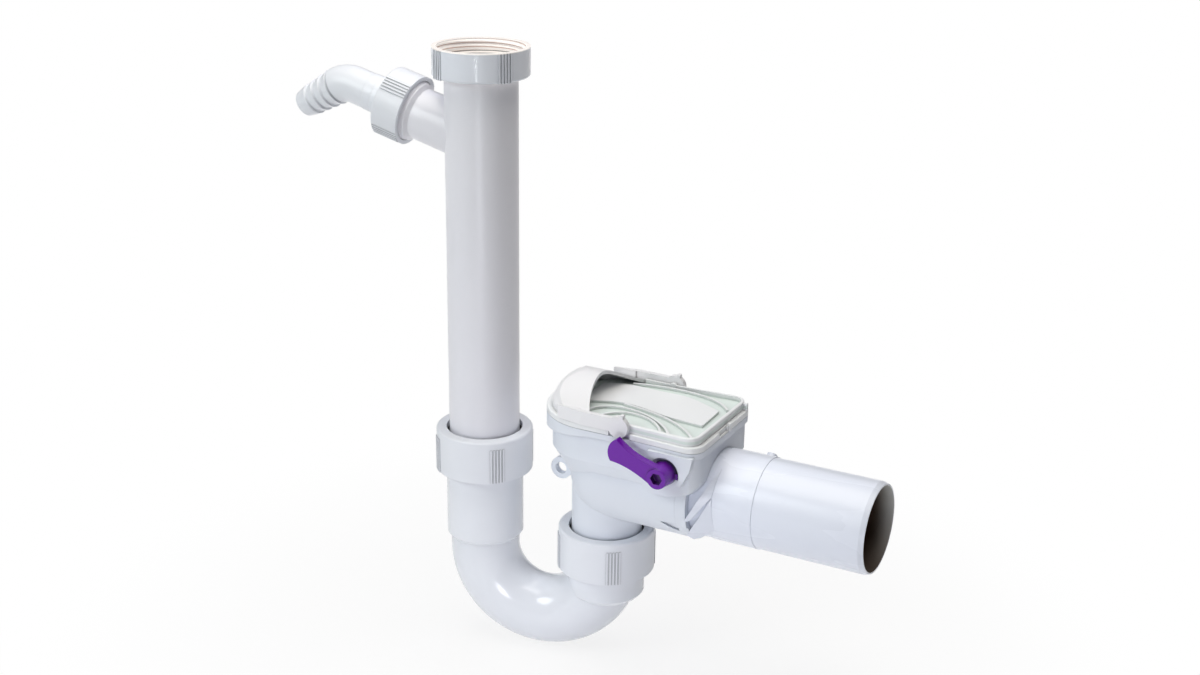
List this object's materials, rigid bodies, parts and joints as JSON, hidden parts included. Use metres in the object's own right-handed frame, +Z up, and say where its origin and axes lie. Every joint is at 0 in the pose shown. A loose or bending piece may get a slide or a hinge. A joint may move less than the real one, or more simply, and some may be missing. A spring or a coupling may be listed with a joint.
{
  "type": "anti-backflow trap",
  "caption": "White plastic waste trap with a side hose tail, U-bend, flap valve with shut-off lever, cover bail and a plain outlet spigot.",
  "frame": {"origin": "centre of the outlet pipe's mouth", "axes": "+X out of the outlet along its axis, +Z up along the inlet tube"},
  "size_m": [0.3487, 0.0822, 0.3476],
  "materials": {
    "nut_plastic": "satin moulded white",
    "tube_plastic": "smooth extruded white",
    "bend_plastic": "glossy moulded white",
    "nozzle_plastic": "satin moulded white",
    "body_plastic": "fine moulded texture",
    "pipe_plastic": "smooth extruded white",
    "cover_plastic": "fine moulded texture",
    "bail_plastic": "fine moulded texture",
    "inner_plastic": "plain moulded",
    "lever_plastic": "glossy moulded purple",
    "rubber": "soft matt",
    "steel": "drawn wire"
  },
  "bodies": {
    "valve": {"valve_body": "body_plastic", "outlet_pipe": "pipe_plastic", "outlet_seal": "rubber", "cover": "cover_plastic", "cover_seal": "rubber", "seat_insert": "inner_plastic", "insert_seal": "rubber", "flap_hinge_pin": "steel"},
    "bail": {"locking_bail": "bail_plastic"},
    "shutoff": {"lever": "lever_plastic", "lever_spindle": "inner_plastic", "spindle_seal": "rubber", "closing_cam": "inner_plastic"},
    "flap": {"flap": "inner_plastic", "flap_seal": "rubber"},
    "bend": {"trap_bend": "bend_plastic", "outlet_wedge_seal": "rubber"},
    "outlet_nut": {"outlet_trap_nut": "nut_plastic"},
    "trap_nut": {"inlet_trap_nut": "nut_plastic"},
    "joint_ring": {"inlet_wedge_seal": "rubber"},
    "inlet_leg": {"tailpiece": "tube_plastic", "inlet_washer": "rubber", "branch_washer": "rubber"},
    "top_nut": {"inlet_nut": "nut_plastic"},
    "side_nut": {"branch_nut": "nut_plastic"},
    "nozzle": {"hose_nozzle": "nozzle_plastic"}
  },
  "joints": [
    {"name": "bail_lift", "type": "hinge", "parent": "valve", "child": "bail", "pos_m": [-0.1357, 0, 0.0416], "axis": [0, 1, 0], "range_deg": [0, 90]},
    {"name": "lever_turn", "type": "hinge", "parent": "valve", "child": "shutoff", "pos_m": [-0.1075, 0, 0.0218], "axis": [0, -1, 0], "range_deg": [0, 45]},
    {"name": "flap_swing", "type": "hinge", "parent": "valve", "child": "flap", "pos_m": [-0.136, 0, 0.027], "axis": [0, 1, 0], "range_deg": [-45, 0]},
    {"name": "bend_swivel", "type": "hinge", "parent": "valve", "child": "bend", "pos_m": [-0.16, 0, -0.05], "axis": [0, 0, 1], "range_deg": [-90, 70]},
    {"name": "outlet_nut_turn", "type": "hinge", "parent": "bend", "child": "outlet_nut", "pos_m": [-0.16, 0, -0.05], "axis": [0, 0, 1], "continuous": true},
    {"name": "trap_nut_turn", "type": "hinge", "parent": "bend", "child": "trap_nut", "pos_m": [-0.23288, -0.01338, 0], "axis": [0, 0, 1], "continuous": true},
    {"name": "leg_swivel", "type": "hinge", "parent": "bend", "child": "joint_ring", "pos_m": [-0.23288, -0.01338, 0], "axis": [0, 0, 1], "continuous": true},
    {"name": "leg_slide", "type": "slide", "parent": "joint_ring", "child": "inlet_leg", "axis": [0, 0, 1], "range_m": [-0.008, 0.03]},
    {"name": "top_nut_turn", "type": "hinge", "parent": "inlet_leg", "child": "top_nut", "pos_m": [-0.23288, -0.01338, 0.22], "axis": [0, 0, 1], "continuous": true},
    {"name": "side_nut_turn", "type": "hinge", "parent": "inlet_leg", "child": "side_nut", "pos_m": [-0.28085, -0.01644, 0.19428], "axis": [-0.9593, -0.0612, 0.2756], "continuous": true},
    {"name": "nozzle_turn", "type": "hinge", "parent": "inlet_leg", "child": "nozzle", "pos_m": [-0.29044, -0.01705, 0.19704], "axis": [-0.9593, -0.0612, 0.2756], "continuous": true}
  ]
}
